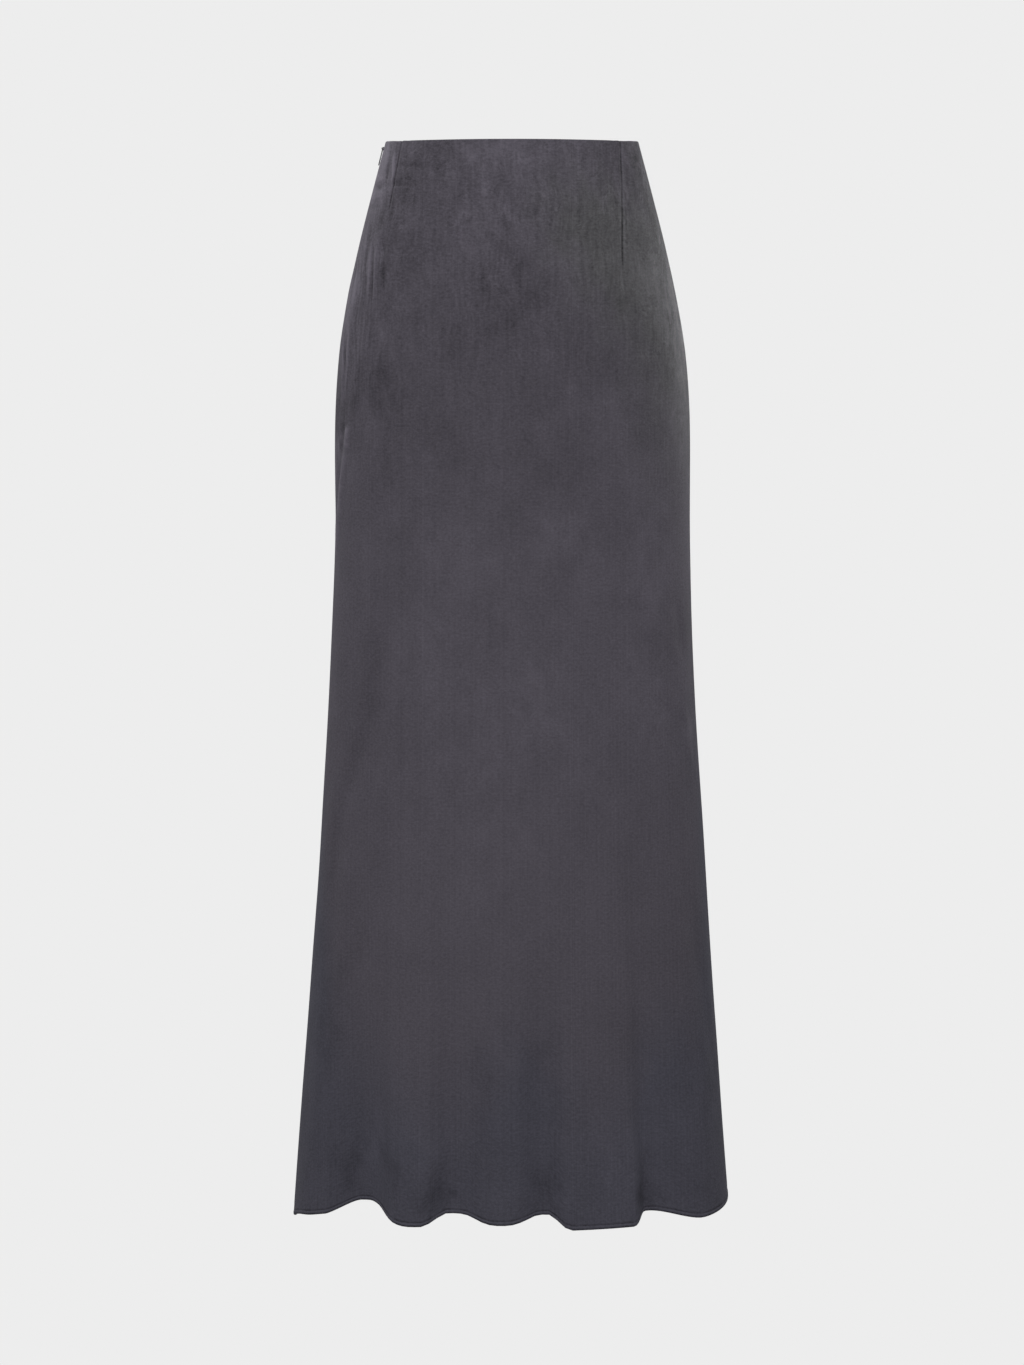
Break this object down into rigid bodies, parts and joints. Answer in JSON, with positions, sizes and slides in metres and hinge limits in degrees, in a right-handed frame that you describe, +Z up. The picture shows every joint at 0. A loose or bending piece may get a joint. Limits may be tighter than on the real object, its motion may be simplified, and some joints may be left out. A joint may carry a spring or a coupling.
{
  "type": "slip skirt",
  "caption": "Long hollow slip skirt with a darted waist, straight hips, a fluted narrow hem and a concealed side zip.",
  "frame": {"origin": "the middle of the waist, level with the waist edge at the side seams", "axes": "+Z up along the skirt to the waist, +X to the wearer's left, -Y out of the front"},
  "size_m": [0.4015, 0.2822, 0.9897],
  "materials": {
    "satin": "charcoal washed satin with a soft streaky nap and a low sheen",
    "turned_satin": "the same satin, folded and pressed",
    "zip_tape": "dark woven tape",
    "zip_nylon": "dark nylon coil",
    "zip_metal": "dark lacquered metal"
  },
  "bodies": {
    "skirt": {"front_panel": "satin", "back_panel": "satin", "hem_front": "turned_satin", "hem_back": "turned_satin", "front_dart_left": "turned_satin", "front_dart_right": "turned_satin", "back_dart_left": "turned_satin", "back_dart_right": "turned_satin", "zip_tape_front": "zip_tape", "zip_tape_back": "zip_tape", "zip_coil": "zip_nylon", "zip_slider": "zip_metal"},
    "pull": {"zip_pull": "zip_metal"}
  },
  "joints": [
    {"name": "pull_hinge", "type": "hinge", "parent": "skirt", "child": "pull", "pos_m": [-0.11968, 0, -0.00623], "axis": [0, 1, 0], "range_deg": [0, 150]}
  ]
}
